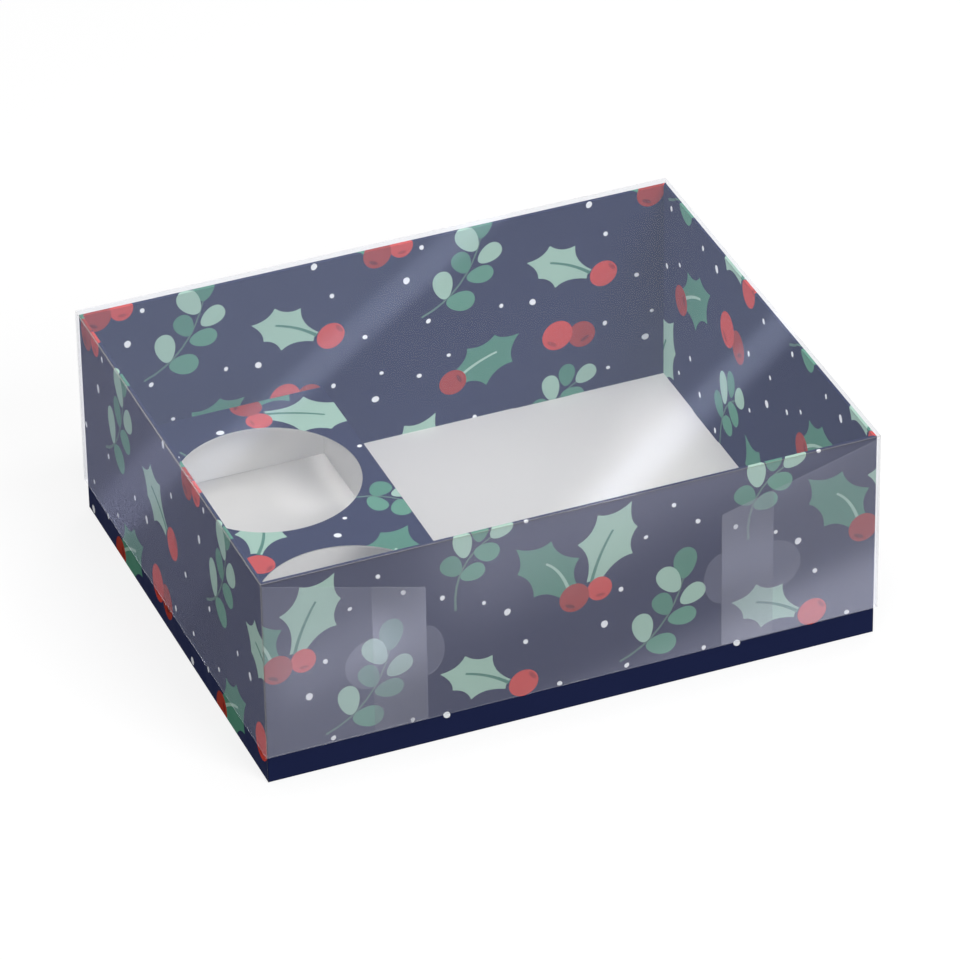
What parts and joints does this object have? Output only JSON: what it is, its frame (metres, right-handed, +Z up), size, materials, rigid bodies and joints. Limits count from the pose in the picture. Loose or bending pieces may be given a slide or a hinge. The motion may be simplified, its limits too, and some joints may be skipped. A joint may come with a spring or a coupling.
{
  "type": "gift box",
  "caption": "Printed folding-card gift box with double walls, a raised platform with round wells, and a clear film lift-off lid with locked corner flaps.",
  "frame": {"origin": "on the ground under the middle of the box", "axes": "+X along the long side to the right, -Y to the front, +Z up"},
  "size_m": [0.2418, 0.1974, 0.0882],
  "materials": {
    "printed_card": "satin printed board",
    "plain_card": "uncoated pale reverse of the board",
    "clear_film": "clear glossy film with a slight haze"
  },
  "bodies": {
    "tray": {"tray_floor": "plain_card", "tray_front_outer_wall": "printed_card", "tray_back_outer_wall": "printed_card", "tray_left_outer_wall": "printed_card", "tray_right_outer_wall": "printed_card", "tray_front_rim": "printed_card", "tray_back_rim": "printed_card", "tray_left_rim": "printed_card", "tray_right_rim": "printed_card", "tray_front_inner_wall": "printed_card", "tray_back_inner_wall": "printed_card", "tray_left_inner_wall": "printed_card", "tray_right_inner_wall": "printed_card", "tray_front_left_corner_tab": "printed_card", "tray_front_right_corner_tab": "printed_card", "tray_back_left_corner_tab": "printed_card", "tray_back_right_corner_tab": "printed_card"},
    "insert": {"insert_top": "printed_card", "insert_front_leg": "printed_card", "insert_back_leg": "printed_card"},
    "insert_left_leg": {"insert_left_leg": "printed_card"},
    "insert_right_leg": {"insert_right_leg": "printed_card"},
    "lid": {"lid_top": "clear_film", "lid_front_wall": "clear_film", "lid_back_wall": "clear_film", "lid_left_wall": "clear_film", "lid_right_wall": "clear_film", "lid_front_left_corner_flap": "clear_film", "lid_front_right_corner_flap": "clear_film", "lid_back_left_corner_flap": "clear_film", "lid_back_right_corner_flap": "clear_film", "lid_front_left_corner_lock": "clear_film", "lid_front_right_corner_lock": "clear_film", "lid_back_left_corner_lock": "clear_film", "lid_back_right_corner_lock": "clear_film"}
  },
  "joints": [
    {"name": "lid_lift", "type": "slide", "parent": "tray", "child": "lid", "axis": [0, 0, 1], "range_m": [0, 0.09]},
    {"name": "insert_lift", "type": "slide", "parent": "tray", "child": "insert", "axis": [0, 0, 1], "range_m": [0, 0.055]},
    {"name": "insert_left_leg_fold", "type": "hinge", "parent": "insert", "child": "insert_left_leg", "pos_m": [-0.11812, 0, 0.03043], "axis": [0, -1, 0], "range_deg": [0, 90]},
    {"name": "insert_right_leg_fold", "type": "hinge", "parent": "insert", "child": "insert_right_leg", "pos_m": [-0.02423, 0, 0.03043], "axis": [0, -1, 0], "range_deg": [-90, 90]}
  ]
}
